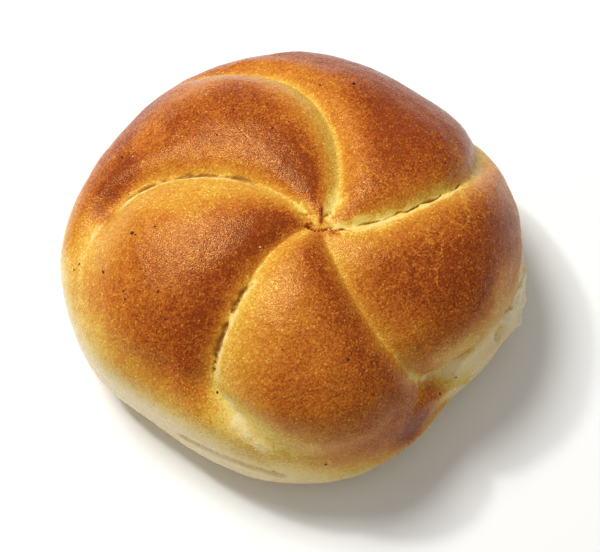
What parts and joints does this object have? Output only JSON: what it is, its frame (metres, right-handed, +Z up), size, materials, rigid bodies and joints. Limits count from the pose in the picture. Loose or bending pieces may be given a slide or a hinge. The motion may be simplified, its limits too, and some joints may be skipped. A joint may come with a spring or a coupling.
{
  "type": "bread roll",
  "caption": "Round crusty white roll, domed on top and flat underneath, whose top is parted by curved cuts into petals that spiral out from an off-centre star.",
  "frame": {"origin": "on the flat base, under the middle of the bounding box", "axes": "+Z up out of the base towards the star of cuts, +X along the longest extent, +Y across it, with the star towards +X and -Y of the middle"},
  "size_m": [0.104, 0.1016, 0.0459],
  "materials": {
    "baked_crust": "satin"
  },
  "bodies": {
    "root": {"roll": "baked_crust"}
  },
  "joints": []
}
